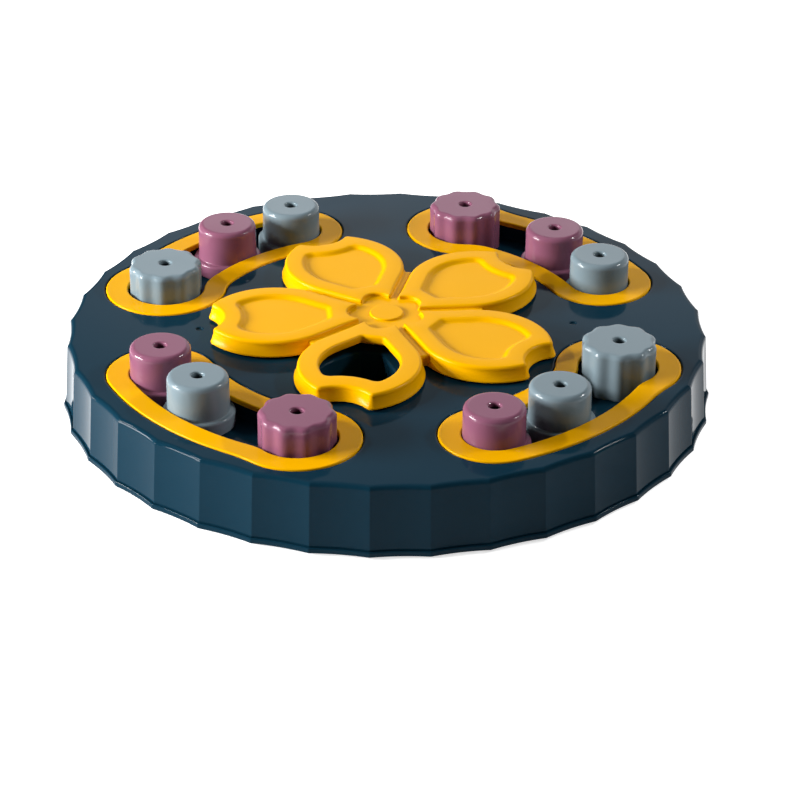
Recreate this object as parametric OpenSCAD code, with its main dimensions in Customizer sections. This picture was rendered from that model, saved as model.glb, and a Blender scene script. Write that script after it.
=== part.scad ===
// Treat board for a dog: a fluted tray with four curved troughs round a turning flower.
// Frame: origin at the centre of the board, on the surface that its feet stand on.
// +Z is up and -Y is the front. Sizes are in millimetres.

/* [Tray] */
// Width of the tray over the corners of its bottom lip
tray_d = 250; // [246:0.5:260]
// Height of the deck above the bottom of the lip
tray_h = 27.4; // [26:0.1:32]
// Number of hollow flutes round the side
flutes = 36; // [28:2:48]
// Depth of a flute between its two sharp corners
flute_depth = 0.7; // [0.2:0.1:1.2]
// Thickness of the side, the deck and the floors
wall = 2.4; // [1.8:0.1:2.8]
// Height of the lip round the bottom edge
lip_h = 2.1; // [1:0.1:3]
// How far the lip stands out from the side
lip_out = 0.9; // [0.3:0.1:1.5]
// How far the side leans in from the lip to the deck
lean = 1.5; // [0.5:0.1:3]
// Radius of the rounded edge between the side and the deck
rim_r = 1.8; // [0.8:0.1:2.4]
// Diameter of the two small gate marks on the deck
gate_d = 2.4; // [1.5:0.1:4]
// Depth of the gate marks
gate_depth = 0.5; // [0.2:0.1:1]
// Distance of the gate marks from the centre
gate_at = 72; // [68:0.5:76]
// Thickness of the stiffening ribs under the deck
rib_t = 1.8; // [1.2:0.1:3]
// Depth of the stiffening ribs
rib_depth = 9; // [5:0.5:12]

/* [Troughs] */
// Radius of the centreline that the knobs slide along
track_r = 92.7; // [91:0.1:94]
// Half of the angle between the centres of a trough's two ends
half_sweep = 22.5; // [21:0.5:24]
// Width of the slot that the knobs stand in
slot_w = 23.8; // [23.2:0.1:24.2]
// Diameter of the slot's wide end, where the plug lifts out
wide_d = 30; // [28.6:0.1:31]
// Radius of the curve that leads from the slot into the wide end
blend_r = 20; // [17:0.5:24]
// How far the trough runs out under the ring
undercut = 2.3; // [2.1:0.1:2.6]
// Depth of the trough's floor below the deck
trough_depth = 8; // [7.5:0.1:10]

/* [Track rings] */
// Width of the ring's band
band_w = 8.6; // [8:0.1:9]
// Radius of the curve that leads the ring's edge into its wide end, on the rim's side
rim_blend = 60; // [20:1:80]
// Radius of the same curve on the side towards the centre
hub_blend = 17; // [12:1:26]
// Thickness of the ring
ring_t = 2; // [1.6:0.1:2.4]
// Height of the ring's face above the deck
ring_proud = 0.3; // [0.1:0.1:0.6]
// Gap between the ring and the edge of its recess
ring_gap = 0.4; // [0.2:0.1:0.8]
// Width of the bevel along the ring's edges
ring_bevel = 0.5; // [0.3:0.1:0.8]
// Diameter of the pegs that hold the ring in the tray
peg_d = 2.8; // [2:0.1:3.4]

/* [Sliding knobs] */
// How much the knob's cap leans in from the flange to its top
cap_lean = 0.1; // [0:0.1:1]
// Height of the knob from its underside to its top
slider_h = 19.6; // [17:0.1:22]
// Thickness of the walls of the knobs and plugs
knob_wall = 1.8; // [1.2:0.1:2.2]
// Radius of the rounded edge round the top of the knobs and plugs
knob_edge = 2; // [1:0.1:2.6]
// Diameter of the scent hole in the top of each knob and plug
scent_d = 4.5; // [3:0.1:6]
// Rounding of the scent hole's rim
scent_rim = 0.7; // [0.3:0.1:1]

/* [Lift-out plugs] */
// Diameter of the plug over its lobes
plug_d = 28.6; // [26:0.1:28.8]
// Height of the plug
plug_h = 18.8; // [16:0.1:22]
// Number of lobes round the plug
lobes = 10; // [8:1:12]
// Depth of the hollows between the lobes
lobe_depth = 0.9; // [0.4:0.1:1.2]

/* [Flower] */
// Number of petals
petals = 5; // [5:1:5]
// Angle of the open petal from the +X axis
open_petal_at = 254.4; // [240:0.1:270]
// Height of the flower from its bottom edge to the face of its petals
flower_h = 6.1; // [5.6:0.1:8]
// Gap between the flower's bottom edge and the deck
flower_gap = 0.9; // [0.4:0.1:1.2]
// Greatest width of a petal at its foot
petal_w = 48.8; // [46:0.1:49.6]
// Radius of the long curve along each side of a petal
side_r = 28.8; // [27.8:0.1:29.8]
// Distance between neighbouring petals at their feet
petal_gap = 0.8; // [0.6:0.1:1.6]
// Distance of a petal's inner end from the centre
root_at = 9.6; // [9:0.1:11]
// Distance of the notch in a petal's tip from the centre
notch_at = 64; // [62:0.1:65]
// Radius of the notch in a petal's tip
notch_r = 12; // [11:0.1:14]
// Distance from a petal's foot to the edge of its panel
petal_rim = 9.4; // [8.6:0.1:10.4]
// Distance of the panel's inner end from the centre
panel_at = 22.5; // [21:0.1:25]
// Depth of the panel below the face of the petal
panel_depth = 1.2; // [0.6:0.1:1.6]
// Thickness of the flower's plate and walls
flower_wall = 2; // [1.4:0.1:2.2]
// How far a petal's wall leans in from its foot to the bevel
petal_lean = 1.2; // [0.4:0.1:1.4]
// Width of the bevel along the petal's outer edge
petal_bevel = 1.2; // [0.6:0.1:1.6]
// Radius of the web that joins the petals
web_r = 37.4; // [35:0.1:39]
// Depth of the web below the face of the petals
web_drop = 1.6; // [1:0.1:2]
// Diameter of the round button at the centre
button_d = 13; // [10:0.5:16]
// Height of the button above the web
button_h = 0.8; // [0.4:0.1:1.4]
// Diameter of the scoop in a petal's inner end
scoop_d = 6; // [4:0.1:7]

/* [Petal pockets] */
// Depth of the pockets below the deck
pocket_depth = 12; // [9:0.5:14]
// Width of the bevel round a pocket's mouth
pocket_bevel = 1; // [0.5:0.1:1.5]

/* [Pivot] */
// Diameter of the flower's post
post_d = 10; // [8:0.1:11]
// Length of the bearing that the post turns in, from the deck down
bearing_h = 14; // [10:0.5:18]
// Diameter of the screw's shank
screw_d = 3; // [2.4:0.1:3.6]
// Length of the screw's shank
screw_l = 12; // [8:0.5:14]
// Diameter of the screw's head
screw_head_d = 7; // [5.5:0.1:8]
// Height of the screw's head
screw_head_h = 2.2; // [1.6:0.1:3]
// Thickness of the washer
washer_t = 1.2; // [0.8:0.1:2]

/* [Feet] */
// How far the rubber feet stand below the lip
foot_proud = 1; // [0.6:0.1:2]
// Diameter of the foot's pad
foot_d = 19.6; // [16:0.1:20]
// Diameter of the foot's stem
foot_stem_d = 15; // [11:0.1:15.4]
// Length of the foot's stem
foot_stem_l = 5; // [3:0.5:8]
// Distance of the feet from the centre
foot_at = 105; // [103:0.5:107]

/* [Where the knobs stand] */
// Gaps between the flanges of the middle and end knobs
knob_gaps = [2.3, 3.4, 0.6, 2.1]; // [0.6:0.1:4]
// How far the four end knobs stand from the narrow end of their troughs
end_turns = [0.2, 0.2, -0.1, -0.1]; // [-0.1:0.1:0.2]

/* [Fits] */
// Gap between parts that slide or turn past each other
run_gap = 0.3; // [0.2:0.05:0.3]
// Radial gap round the post, the pegs, the stems and the screw
shaft_gap = 0.05; // [0.03:0.01:0.08]

/* [Hidden] */

$fn = 96;
navy = "#2b3e4b";
yellow = "#f8b51b";
plum = "#91647f";
grey = "#84929a";
rubber = "#23282b";
steel = "#b9bdc0";

// Every cut runs this far past the face that it opens
over = 0.5;
// Round faces that would only touch along a line run this far into each other
lap = 0.02;

// Heights above the surface that the feet stand on
lip_z = foot_proud;
deck_z = lip_z + tray_h;
trough_z = deck_z - trough_depth;
seat_z = deck_z + ring_proud - ring_t;
pocket_z = deck_z - pocket_depth;
knob_z = trough_z + run_gap;
flower_z = deck_z + flower_gap;
face_z = flower_z + flower_h;
web_z = face_z - web_drop;
plate_z = face_z - panel_depth - flower_wall;
bearing_z = deck_z - bearing_h;
post_z = bearing_z - run_gap;
washer_z = post_z - washer_t;

// The four troughs are a quarter turn apart
group_pitch = 90;
function group_angle(k) = group_pitch / 2 + group_pitch * k;

// Half sizes of the trough
slot_r = slot_w / 2;
wide_r = wide_d / 2;
peg_out = (undercut + band_w) / 2;

// A point at a distance and an angle from the centre
function polar(r, a) = [r * cos(a), r * sin(a)];

// Points of an arc round a centre, from one angle to another
function arc(centre, r, from, to, steps) =
    [for (i = [0 : steps]) centre + polar(r, from + (to - from) * i / steps)];

// Centre of each end of a trough
narrow_end = polar(track_r, -half_sweep);
wide_end = polar(track_r, half_sweep);

// Two lines round a trough: the slot's own edge and the ring's outer edge. Each has its distance from
// the slot, and the radii of its blend curves on the rim's side and the centre's
slot_line = [0, blend_r, blend_r];
ring_line = [band_w, rim_blend, hub_blend];

// Distance from the board's centre to the centre of a line's blend curve
function blend_reach(line, side) = track_r + (side == 0 ? 1 : -1) * (slot_r + line[0] + line[side + 1]);

// Angle of that centre from the middle of the trough
function blend_turn(line, side) = let (reach = blend_reach(line, side), gap = wide_r + line[0] + line[side + 1])
    half_sweep - acos((track_r * track_r + reach * reach - gap * gap) / (2 * track_r * reach));

function blend_centre(line, side) = polar(blend_reach(line, side), blend_turn(line, side));

// A cone or cylinder that cuts right through a height, and past both of its ends
module cut_cone(low_r, high_r, height) {
    slope = (high_r - low_r) / height;
    translate([0, 0, -over])
        cylinder(h = height + 2 * over, r1 = low_r - slope * over, r2 = high_r + slope * over);
}

// A cone or cylinder that hollows out a height and runs on past its foot
module cut_base(low_r, high_r, height) {
    slope = (high_r - low_r) / height;
    translate([0, 0, -over]) cylinder(h = height + over, r1 = low_r - slope * over, r2 = high_r);
}

// Triangle that fills the corner between a line and its wide end, as far as a blend curve's centre
module blend_triangle(line, side) {
    polygon([wide_end, blend_centre(line, side), polar(track_r, blend_turn(line, side))]);
}

// Outline that follows a line round a trough, grown outwards by one amount
module track_outline(line, grow) {
    out = line[0] + grow;
    intersection() {
        difference() {
            circle(track_r + slot_r + out);
            circle(track_r - slot_r - out);
        }
        polygon([[0, 0], 2 * narrow_end, 2 * wide_end]);
    }
    translate(narrow_end) circle(slot_r + lap + out);
    translate(wide_end) circle(wide_r + out);
    for (side = [0, 1]) difference() {
        blend_triangle(line, side);
        translate(blend_centre(line, side)) circle(line[side + 1] + lap - grow);
    }
}

// Upright solid over such an outline
module track_prism(line, grow, height) {
    linear_extrude(height) track_outline(line, grow);
}

// Solid over such an outline, grown outwards by one amount at its foot and another at its top
module track_taper(line, low, high, height) {
    foot = line[0] + low;
    top = line[0] + high;
    rotate([0, 0, -half_sweep]) rotate_extrude(angle = 2 * half_sweep, $fn = 360) polygon([
        [track_r - slot_r - foot, 0], [track_r + slot_r + foot, 0],
        [track_r + slot_r + top, height], [track_r - slot_r - top, height]
    ]);
    translate(narrow_end) cylinder(h = height, r1 = slot_r + lap + foot, r2 = slot_r + lap + top);
    translate(wide_end) cylinder(h = height, r1 = wide_r + foot, r2 = wide_r + top);
    for (side = [0, 1]) difference() {
        linear_extrude(height) blend_triangle(line, side);
        translate(blend_centre(line, side))
            cut_cone(line[side + 1] + lap - low, line[side + 1] + lap - high, height);
    }
}

// Cuts a bevel round the edge of an opening that follows a line, with its face at z = 0
module track_bevel_cut(line, grow, bevel) {
    reach = bevel + over;
    translate([0, 0, -reach]) track_taper(line, grow + bevel - reach, grow + bevel + over, reach + over);
}

// Copies what follows at each of a ring's four pegs
module at_pegs() {
    end_turn_of = [for (end = [[-half_sweep, slot_r], [half_sweep, wide_r]])
        polar(track_r, end[0]) + polar(end[1] + peg_out, end[0] + sign(end[0]) * 90)];
    for (place = concat(end_turn_of, [[track_r + slot_r + peg_out, 0], [track_r - slot_r - peg_out, 0]]))
        translate(place) children();
}

// Half of the angle between petals, and the centres of a petal's side curves and notch
half_pitch = 180 / petals;
side_off = side_r - petal_w / 2;
side_x = (side_r + petal_gap / 2 - side_off * cos(half_pitch)) / sin(half_pitch);
notch_x = notch_at + notch_r;

// Half width of a petal's straight inner part at a distance from the hub
function root_half(x, inset) = x * tan(half_pitch) - (petal_gap / 2 + inset) / cos(half_pitch);

// Corners of a petal's straight inner part, drawn in by an inset
function root_corners(root, inset) =
    let (x = side_x - (side_r - inset) * sin(half_pitch), half = (side_r - inset) * cos(half_pitch) - side_off)
    [[root, -root_half(root, inset)], [x, -half], [x, half], [root, root_half(root, inset)]];

// Upright solid over a petal's outline along +X, drawn in by an inset
module petal_prism(root, inset, height) {
    linear_extrude(height) difference() {
        union() {
            intersection() {
                translate([side_x, -side_off]) circle(side_r + lap - inset);
                translate([side_x, side_off]) circle(side_r + lap - inset);
            }
            polygon(root_corners(root, inset));
        }
        translate([notch_x, 0]) circle(notch_r + inset);
    }
}

// Solid over a petal's outline, drawn in by one inset at its foot and another at its top
module petal_taper(root, low, high, height) {
    difference() {
        union() {
            intersection() {
                translate([side_x, -side_off, 0])
                    cylinder(h = height, r1 = side_r + lap - low, r2 = side_r + lap - high);
                translate([side_x, side_off, 0])
                    cylinder(h = height, r1 = side_r + lap - low, r2 = side_r + lap - high);
            }
            polyhedron(
                points = concat(
                    [for (p = root_corners(root, low)) [each p, 0]],
                    [for (p = root_corners(root + high - low, high)) [each p, height]]
                ),
                faces = [[0, 1, 2, 3], [7, 6, 5, 4], [0, 4, 5, 1], [1, 5, 6, 2], [2, 6, 7, 3], [3, 7, 4, 0]]
            );
        }
        translate([notch_x, 0, 0]) cut_cone(notch_r + low, notch_r + high, height);
    }
}

// Cuts a bevel round the edge of an opening that has a petal's outline, with its face at z = 0
module petal_bevel_cut(root, inset, bevel) {
    reach = bevel + over;
    translate([0, 0, -reach])
        petal_taper(root + inset + over, inset + over, inset - bevel - over, reach + over);
}

// Copies what follows at each petal or pocket, starting from an angle
module at_petals(start) {
    for (k = [0 : petals - 1]) rotate([0, 0, start + k * 360 / petals]) children();
}

// Solid through a stack of rings with equal numbers of points
module loft(rings) {
    n = len(rings[0]);
    polyhedron(
        points = [for (ring = rings) each ring],
        faces = concat(
            [[for (j = [0 : n - 1]) j]],
            [for (i = [0 : len(rings) - 2], j = [0 : n - 1], half = [0, 1])
                let (a = i * n + j, b = i * n + (j + 1) % n)
                half == 0 ? [a, a + n, b + n] : [a, b + n, b]],
            [[for (j = [n - 1 : -1 : 0]) (len(rings) - 1) * n + j]]
        )
    );
}

tray_r = tray_d / 2;
side_low_r = tray_r - lip_out;
side_high_r = side_low_r - lean;
flute_steps = 4;
half_flute = 180 / flutes;

// Fluted outline whose corners lie at a radius, at a height
function fluted_ring(r, z) = [for (j = [0 : flutes - 1], i = [0 : flute_steps - 1]) let (
        turn = 2 * half_flute * j,
        across = 2 * i / flute_steps - 1,
        x = r * (cos(half_flute) - flute_depth / tray_r * (1 - across * across)),
        y = r * sin(half_flute) * across
    ) [x * cos(turn) - y * sin(turn), x * sin(turn) + y * cos(turn), z]];

tray_outside = concat(
    [[tray_r, lip_z], [tray_r, lip_z + lip_h - lip_out], [side_low_r, lip_z + lip_h]],
    arc([side_high_r - rim_r, deck_z - rim_r], rim_r, 0, 90, 3)
);
inside_low_r = side_low_r * cos(half_flute) - flute_depth - wall;

// Tube under the deck that a foot's stem plugs into
foot_tube_r = foot_stem_d / 2 + wall;
bearing_r = post_d / 2 + shaft_gap + wall;
// Angle of the first petal pocket, opposite the right-hand side
pocket_at = 180;
pocket_out = petal_rim - wall;
pocket_root = panel_at - petal_rim;

module tray_hangings() {
    join_z = deck_z - wall / 2;
    translate([0, 0, bearing_z]) cylinder(h = join_z - bearing_z, r = bearing_r);
    for (k = [0 : 3]) rotate([0, 0, k * group_pitch]) {
        translate([foot_at, 0, lip_z]) cylinder(h = join_z - lip_z, r = foot_tube_r);
        translate([foot_at, -rib_t / 2, join_z - rib_depth])
            cube([inside_low_r - foot_at, rib_t, rib_depth]);
        translate([notch_at + wall, -rib_t / 2, join_z - rib_depth])
            cube([foot_at - notch_at - wall, rib_t, rib_depth]);
    }
}

module tray_cuts() {
    for (k = [0 : 3]) rotate([0, 0, group_angle(k)]) translate([0, 0, deck_z]) {
        translate([0, 0, -wall - over]) track_prism(ring_line, ring_gap, wall + 2 * over);
        track_bevel_cut(ring_line, ring_gap, ring_bevel);
    }
    at_petals(pocket_at) translate([0, 0, deck_z]) {
        translate([0, 0, -wall - over]) petal_prism(pocket_root + petal_rim, petal_rim, wall + 2 * over);
        petal_bevel_cut(pocket_root, petal_rim, pocket_bevel);
    }
    translate([0, 0, bearing_z - over]) cylinder(h = bearing_h + 2 * over, r = post_d / 2 + shaft_gap);
    for (k = [0 : 3]) rotate([0, 0, k * group_pitch])
        translate([foot_at, 0, lip_z - over])
            cylinder(h = tray_h - wall + over, r = foot_stem_d / 2 + shaft_gap);
    for (x = [-gate_at, gate_at]) translate([x, 0, deck_z - gate_depth])
        cylinder(h = gate_depth + over, r = gate_d / 2);
}

module base_tray() {
    color(navy) difference() {
        union() {
            difference() {
                loft([for (p = tray_outside) fluted_ring(p[0], p[1])]);
                translate([0, 0, lip_z]) cut_base(inside_low_r, inside_low_r - lean, tray_h - wall);
            }
            tray_hangings();
        }
        tray_cuts();
    }
}

// Pan that hangs under the deck to make a trough, with the seat for its ring
module trough_pan(k) {
    color(navy) rotate([0, 0, group_angle(k)]) difference() {
        union() {
            intersection() {
                union() {
                    translate([0, 0, trough_z - wall]) track_prism(slot_line, undercut + wall, seat_z - trough_z);
                    translate([0, 0, seat_z - wall]) track_prism(ring_line, ring_gap + wall, wall + over);
                }
                cylinder(h = deck_z - wall, r = inside_low_r - lean - run_gap);
            }
            translate([0, 0, seat_z - wall]) track_prism(ring_line, ring_gap, wall + over);
        }
        translate([0, 0, trough_z]) track_prism(slot_line, undercut, trough_depth);
        translate([0, 0, seat_z]) track_prism(ring_line, 2 * ring_gap, ring_t);
        translate([0, 0, seat_z - wall - over]) at_pegs()
            cylinder(h = wall + 2 * over, r = peg_d / 2 + shaft_gap);
    }
}

// Pan that hangs under the deck to make a petal pocket
module pocket_pan(k) {
    color(navy) rotate([0, 0, pocket_at + k * 360 / petals]) difference() {
        translate([0, 0, pocket_z - wall]) petal_prism(pocket_root + pocket_out, pocket_out, pocket_depth);
        translate([0, 0, pocket_z]) petal_prism(pocket_root + petal_rim, petal_rim, pocket_depth);
    }
}

// Ring that frames a trough and holds the flanges of its knobs down
module track_ring(k) {
    color(yellow) rotate([0, 0, group_angle(k)]) translate([0, 0, seat_z]) {
        difference() {
            union() {
                track_prism(ring_line, 0, ring_t - ring_bevel);
                translate([0, 0, ring_t - ring_bevel]) track_taper(ring_line, 0, -ring_bevel, ring_bevel);
            }
            translate([0, 0, -over]) track_prism(slot_line, 0, ring_t + 2 * over);
            translate([0, 0, ring_t]) track_bevel_cut(slot_line, 0, ring_bevel);
        }
        at_pegs() translate([0, 0, -wall + run_gap]) cylinder(h = wall, r = peg_d / 2);
    }
}

// Height of a flange that slides between the trough's floor and the ring
flange_h = seat_z - knob_z - run_gap;
flange_r = slot_r + undercut - 2 * run_gap;
flange_edge = knob_edge / 2;
cap_foot_r = slot_r - run_gap;
cap_r = cap_foot_r - cap_lean;
scent_r = scent_d / 2;

// Angles of the end and middle knobs from the middle of their troughs
function end_turn(k) = end_turns[k] - half_sweep;
function mid_turn(k) = end_turn(k) + 2 * asin((flange_r + knob_gaps[k] / 2) / track_r);

// Hollow round knob, turned about its own axis
module slider(tint, turn, k) {
    profile = concat(
        [[flange_r - knob_wall, 0], [flange_r, 0]],
        arc([flange_r - flange_edge, flange_h - flange_edge], flange_edge, 0, 90, 4),
        [[cap_foot_r, flange_h]],
        arc([cap_r - knob_edge, slider_h - knob_edge], knob_edge, 0, 90, 6),
        arc([scent_r + scent_rim, slider_h - scent_rim], scent_rim, 90, 180, 3),
        [
            [scent_r, slider_h - knob_wall],
            [cap_r - knob_wall, slider_h - knob_wall],
            [cap_foot_r - knob_wall, flange_h - knob_wall],
            [flange_r - knob_wall, flange_h - knob_wall]
        ]
    );
    color(tint) rotate([0, 0, group_angle(k) + turn]) translate([track_r, 0, knob_z])
        rotate_extrude() polygon(profile);
}

plug_r = plug_d / 2;
lobe_steps = 6;

// Lobed outline, drawn in by an inset, at a height
function lobed_ring(inset, z) =
    [for (i = [0 : lobes * lobe_steps - 1]) let (turn = i * 360 / (lobes * lobe_steps))
        [each polar(plug_r - inset - lobe_depth * (1 - cos(turn * lobes)) / 2, turn), z]];

// Hollow lobed plug that covers the wide end of a trough and lifts straight out
module lift_plug(tint, k) {
    edge = arc([0, plug_h - knob_edge], knob_edge, 0, 90, 4);
    inner_r = plug_r - lobe_depth - knob_wall;
    color(tint) rotate([0, 0, group_angle(k) + half_sweep]) translate([track_r, 0, knob_z])
        difference() {
            loft(concat([lobed_ring(0, 0)], [for (p = edge) lobed_ring(knob_edge - p[0], p[1])]));
            translate([0, 0, -over]) cylinder(h = plug_h - knob_wall + over, r = inner_r);
            translate([0, 0, plug_h - knob_wall - over]) cylinder(h = knob_wall + 2 * over, r = scent_r);
            translate([0, 0, plug_h - scent_rim])
                cylinder(h = scent_rim, r1 = scent_r, r2 = scent_r + scent_rim);
        }
}

module petal_body() {
    petal_taper(root_at, 0, petal_lean, flower_h - petal_bevel);
    translate([0, 0, flower_h - petal_bevel])
        petal_taper(root_at + petal_lean, petal_lean, petal_lean + petal_bevel, petal_bevel);
}

// The hollow under a petal, drawn in from the foot
hollow_in = petal_lean + flower_wall;
hollow_root = root_at + hollow_in;

// Flower on a post, with one petal open right through
module flower_turntable() {
    color(yellow) rotate([0, 0, open_petal_at]) difference() {
        union() {
            difference() {
                translate([0, 0, flower_z]) {
                    difference() {
                        at_petals(0) petal_body();
                        at_petals(0) translate([root_at + petal_lean, 0, web_z - flower_z])
                            cylinder(h = web_drop + over, r = scoop_d / 2);
                    }
                    cylinder(h = web_z - flower_z, r = web_r);
                    cylinder(h = web_z - flower_z + button_h, r = button_d / 2);
                }
                at_petals(0) translate([0, 0, flower_z - over])
                    petal_prism(hollow_root, hollow_in, plate_z - flower_z + over);
                at_petals(0) translate([0, 0, face_z - panel_depth])
                    petal_taper(panel_at, petal_rim, petal_rim - (panel_depth + over) / 2, panel_depth + over);
                translate([0, 0, plate_z - over])
                    petal_prism(panel_at, petal_rim, face_z - plate_z + 2 * over);
            }
            translate([0, 0, post_z]) cylinder(h = web_z - post_z, r = post_d / 2);
        }
        translate([0, 0, post_z - over]) cylinder(h = screw_l + over, r = screw_d / 2 + shaft_gap);
    }
}

module pivot_washer() {
    color(steel) translate([0, 0, washer_z]) difference() {
        cylinder(h = washer_t, r = bearing_r);
        translate([0, 0, -over]) cylinder(h = washer_t + 2 * over, r = screw_d / 2 + shaft_gap);
    }
}

// Pan-headed screw with a cross recess
module pivot_screw() {
    head_r = screw_head_d / 2;
    slot = screw_head_h / 3;
    color(steel) translate([0, 0, washer_z]) difference() {
        union() {
            translate([0, 0, -screw_head_h]) rotate_extrude() polygon(concat(
                [[0, 0]], arc([head_r - slot, slot], slot, -90, 0, 4), [[head_r, screw_head_h], [0, screw_head_h]]
            ));
            cylinder(h = washer_t + screw_l - run_gap, r = screw_d / 2);
        }
        for (turn = [0, 90]) rotate([0, 0, turn])
            translate([-screw_d / 2, -slot / 2, -screw_head_h - over]) cube([screw_d, slot, 2 * slot + over]);
    }
}

// Rubber foot: a pad with a stem that plugs into the tray
module foot(k) {
    color(rubber) rotate([0, 0, k * group_pitch]) translate([foot_at, 0, 0]) {
        cylinder(h = foot_proud, r = foot_d / 2);
        cylinder(h = foot_proud + foot_stem_l, r = foot_stem_d / 2);
    }
}

base_tray();
trough_pan(0);  // trough_pan_back_right
trough_pan(1);  // trough_pan_back_left
trough_pan(2);  // trough_pan_front_left
trough_pan(3);  // trough_pan_front_right
pocket_pan(0);  // pocket_pan_left
pocket_pan(1);  // pocket_pan_front_left
pocket_pan(2);  // pocket_pan_front_right
pocket_pan(3);  // pocket_pan_back_right
pocket_pan(4);  // pocket_pan_back_left
track_ring(0);  // track_ring_back_right
track_ring(1);  // track_ring_back_left
track_ring(2);  // track_ring_front_left
track_ring(3);  // track_ring_front_right
slider(plum, mid_turn(0), 0);  // mid_slider_back_right
slider(plum, mid_turn(1), 1);  // mid_slider_back_left
slider(grey, mid_turn(2), 2);  // mid_slider_front_left
slider(grey, mid_turn(3), 3);  // mid_slider_front_right
slider(grey, end_turn(0), 0);  // end_slider_back_right
slider(grey, end_turn(1), 1);  // end_slider_back_left
slider(plum, end_turn(2), 2);  // end_slider_front_left
slider(plum, end_turn(3), 3);  // end_slider_front_right
lift_plug(plum, 0);  // lift_plug_back_right
lift_plug(grey, 1);  // lift_plug_back_left
lift_plug(plum, 2);  // lift_plug_front_left
lift_plug(grey, 3);  // lift_plug_front_right
flower_turntable();
pivot_washer();
pivot_screw();
foot(0);  // foot_right
foot(1);  // foot_back
foot(2);  // foot_left
foot(3);  // foot_front
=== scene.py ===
import math

import bpy
from mathutils import Matrix, Vector
from mathutils.geometry import delaunay_2d_cdt


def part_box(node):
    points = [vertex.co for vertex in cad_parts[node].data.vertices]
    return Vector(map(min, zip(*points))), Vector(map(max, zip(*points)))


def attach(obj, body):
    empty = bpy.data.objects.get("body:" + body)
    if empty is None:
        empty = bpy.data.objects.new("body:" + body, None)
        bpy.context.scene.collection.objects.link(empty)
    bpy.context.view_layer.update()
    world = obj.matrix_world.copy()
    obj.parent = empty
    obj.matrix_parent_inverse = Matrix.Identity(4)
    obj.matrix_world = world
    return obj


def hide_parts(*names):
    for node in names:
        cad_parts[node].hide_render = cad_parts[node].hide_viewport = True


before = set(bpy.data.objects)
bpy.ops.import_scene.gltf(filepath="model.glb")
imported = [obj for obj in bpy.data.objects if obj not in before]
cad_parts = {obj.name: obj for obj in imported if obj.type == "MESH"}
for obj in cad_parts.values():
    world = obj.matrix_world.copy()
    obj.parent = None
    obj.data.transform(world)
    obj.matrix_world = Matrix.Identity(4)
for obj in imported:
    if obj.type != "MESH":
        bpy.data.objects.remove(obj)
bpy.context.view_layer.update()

# The board's sizes are in millimetres in the CAD's own frame, and MM turns them into metres. Materials,
# floor and lights are in metres from the start.
MM = 0.001

# Where each trough and pocket lies, in degrees about the centre
SIDES = {"back_right": 45, "back_left": 135, "front_left": 225, "front_right": 315}
POCKETS = {"left": 180, "front_left": 252, "front_right": 324, "back_right": 396, "back_left": 468}

# Heights that the CAD gives
LIP_Z, DECK_Z = (corner.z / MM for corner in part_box("base_tray"))
RING_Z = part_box("track_ring_back_right")[1].z / MM
KNOB_Z, SLIDER_Z = (corner.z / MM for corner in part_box("mid_slider_back_right"))
PLUG_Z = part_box("lift_plug_back_right")[1].z / MM
POST_Z, FACE_Z = (corner.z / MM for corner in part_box("flower_turntable"))

# Walls, depths and gaps, and the heights that they give
WALL = 2.4
RING_H, TROUGH_DEPTH, POCKET_DEPTH, BEARING_DEPTH = 2, 8, 12, 14
FLOWER_GAP, WEB_DROP, PLATE_DROP = 0.9, 1.6, 3.2
SEAT_Z = RING_Z - RING_H
TROUGH_Z = DECK_Z - TROUGH_DEPTH
POCKET_Z = DECK_Z - POCKET_DEPTH
UNDER_Z = DECK_Z - WALL
BEARING_Z = DECK_Z - BEARING_DEPTH
FLOWER_Z = DECK_Z + FLOWER_GAP
WEB_Z = FACE_Z - WEB_DROP
PLATE_Z = FACE_Z - PLATE_DROP

# Tray: its corners' radius at the lip, then the lip, the side's lean, the rim's rounding and the flutes
TRAY_R = 125.0
LIP_OUT, LIP_H, LEAN, RIM_R = 0.9, 2.1, 1.5, 1.8
FLUTES, FLUTE_DEPTH = 36, 0.7
LOW_R = TRAY_R - LIP_OUT
HIGH_R = LOW_R - LEAN
INNER_R = LOW_R * math.cos(math.pi / FLUTES) - FLUTE_DEPTH - WALL

# Troughs: centreline, half the sweep, half widths, the ring's band and recess, the slot's undercut, pegs
TRACK_R, HALF_SWEEP, SLOT_R, WIDE_R = 92.7, 22.5, 11.9, 15.0
BAND_W, RECESS_W, UNDERCUT = 8.6, 9.0, 2.3
PEG_R, PEG_HOLE_R = 1.4, 1.45
# The slot's edge and the ring's outer edge: distance from the slot, and the radii of the curves that
# lead it into the wide end, on the rim's side and the centre's
SLOT_LINE, RING_LINE = (0.0, 20.0, 20.0), (BAND_W, 60.0, 17.0)

# Petals along +X: the long side's circle and its centre, half the gap between neighbours, the notch in
# the tip, the inner end and the inset of the panel, how far the wall leans in, and where the open one is
PETALS = 5
PITCH, HALF_PITCH = 72, 36.0
HALF_ANGLE = math.radians(HALF_PITCH)
SIDE_R, SIDE_OFF, HALF_GAP = 27.6, 4.4, 1.6
SIDE_X = (SIDE_R + HALF_GAP - SIDE_OFF * math.cos(HALF_ANGLE)) / math.sin(HALF_ANGLE)
NOTCH_X, NOTCH_R = 76.0, 13.2
PANEL_ROOT, PANEL_IN = 22.5, 8.2
PETAL_LEAN = 1.2
OPEN_TURN = 254.4
WEB_R = 37.4

FEET = {"foot_right": 0, "foot_back": 90, "foot_left": 180, "foot_front": 270}
FOOT_AT = 105.0


# ---------------------------------------------------------------- plane curves

def toward(turn):
    """The direction at an angle in degrees."""
    angle = math.radians(turn)
    return Vector((math.cos(angle), math.sin(angle)))


def heading(v):
    """The angle in degrees of a direction."""
    return math.degrees(math.atan2(v.y, v.x))


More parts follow.
